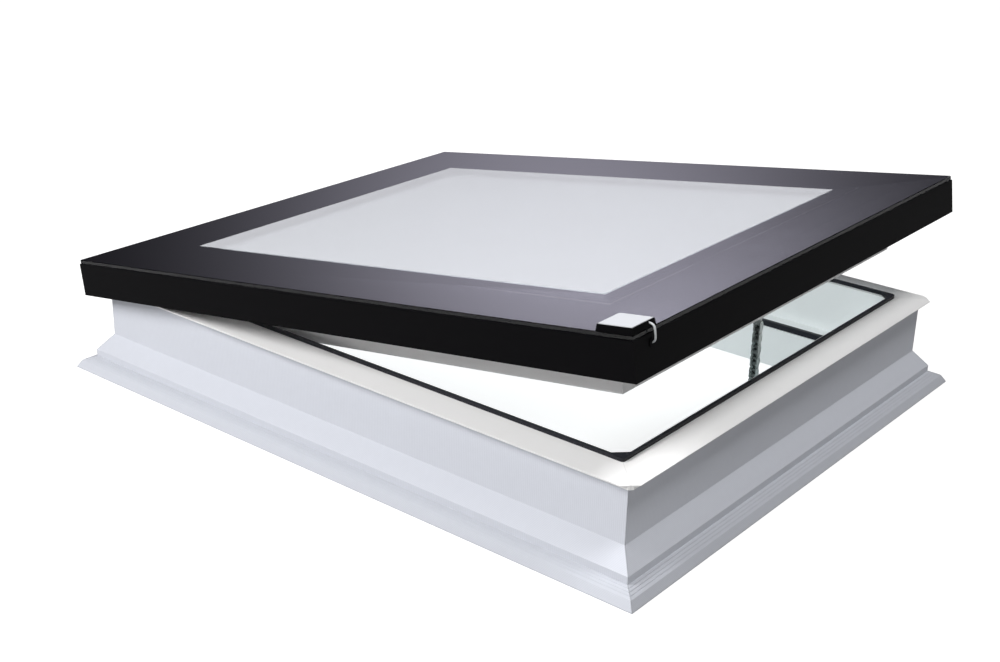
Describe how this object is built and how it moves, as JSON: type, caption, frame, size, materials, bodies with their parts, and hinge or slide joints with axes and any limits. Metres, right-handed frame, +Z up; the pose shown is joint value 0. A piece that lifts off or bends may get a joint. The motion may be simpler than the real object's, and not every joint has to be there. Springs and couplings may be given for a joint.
{
  "type": "flat-roof skylight",
  "caption": "Flat-roof skylight standing vented open: flared upstand with a white frame, a black sash with flush glass, a lifting chain and a rain sensor.",
  "frame": {"origin": "bottom centre of the upstand", "axes": "+Z up, +Y towards the hinges, the opening side faces -Y"},
  "size_m": [0.909, 1.0934, 0.3565],
  "materials": {
    "upstand_pvc": "light grey extruded profile",
    "white_pvc": "smooth white profile",
    "foam": "grey insulating foam",
    "black_aluminium": "black powder coat",
    "black_rubber": "black rubber",
    "border_print": "black enamel print under glass",
    "clear_glass": "clear glass",
    "bare_aluminium": "mill finish",
    "black_plastic": "black moulding",
    "white_plastic": "white moulding",
    "zinc_steel": "zinc plated"
  },
  "bodies": {
    "frame": {"bearing_plate": "zinc_steel", "cable_inlet": "black_rubber", "chain_guide": "white_plastic", "chain_magazine": "black_plastic", "drive_end_caps": "black_plastic", "drive_gearbox": "black_plastic", "drive_housing": "bare_aluminium", "drive_motor": "zinc_steel", "drive_saddles": "zinc_steel", "frame_back": "white_pvc", "frame_front": "white_pvc", "frame_left": "white_pvc", "frame_right": "white_pvc", "hinge_frame_leaf_left": "zinc_steel", "hinge_frame_leaf_right": "zinc_steel", "hinge_frame_screws": "zinc_steel", "hinge_pins": "zinc_steel", "insulation_back": "foam", "insulation_front": "foam", "insulation_left": "foam", "insulation_right": "foam", "ledge_seal": "black_rubber", "lift_chain": "zinc_steel", "lip_seal": "black_rubber", "saddle_screws": "zinc_steel", "upstand_back": "upstand_pvc", "upstand_front": "upstand_pvc", "upstand_left": "upstand_pvc", "upstand_right": "upstand_pvc"},
    "sash": {"sash_cover_front": "black_aluminium", "sash_cover_back": "black_aluminium", "sash_cover_left": "black_aluminium", "sash_cover_right": "black_aluminium", "sash_frame_front": "white_pvc", "sash_frame_back": "white_pvc", "sash_frame_left": "white_pvc", "sash_frame_right": "white_pvc", "corner_cleats": "bare_aluminium", "outer_pane": "clear_glass", "printed_border": "border_print", "inner_pane": "clear_glass", "middle_pane": "clear_glass", "glass_spacer_inner": "bare_aluminium", "glass_spacer_outer": "bare_aluminium", "edge_sealant": "black_rubber", "glazing_seal": "black_rubber", "glazing_tape": "black_rubber", "hinge_sash_leaf_left": "zinc_steel", "hinge_sash_leaf_right": "zinc_steel", "hinge_sash_screws": "zinc_steel", "chain_bracket": "zinc_steel", "chain_bracket_screws": "zinc_steel", "chain_pivot_pin": "zinc_steel", "sensor_housing": "black_plastic", "sensor_plate": "white_plastic", "sensor_lead": "white_plastic", "lead_grommet": "black_rubber"},
    "chain_end": {"chain_head": "zinc_steel"},
    "sprocket": {"drive_sprocket": "zinc_steel"}
  },
  "joints": [
    {"name": "sash_hinge", "type": "hinge", "parent": "frame", "child": "sash", "pos_m": [0, 0.4918, 0.1515], "axis": [-1, 0, 0], "range_deg": [-8.95, 0], "deforming": ["lift_chain"]},
    {"name": "chain_head_pivot", "type": "hinge", "parent": "sash", "child": "chain_end", "pos_m": [0, -0.43598, 0.21972], "axis": [-1, 0, 0], "range_deg": [-0.1, 9.1]},
    {"name": "sprocket_spin", "type": "hinge", "parent": "frame", "child": "sprocket", "pos_m": [-0.01176, -0.43598, 0.0307], "axis": [0, -1, 0], "range_deg": [-712.1, 5]}
  ],
  "couplings": [
    {"joint": "chain_head_pivot", "follows": "sash_hinge", "ratio": -1},
    {"joint": "sprocket_spin", "follows": "sash_hinge", "ratio": 79.03}
  ]
}
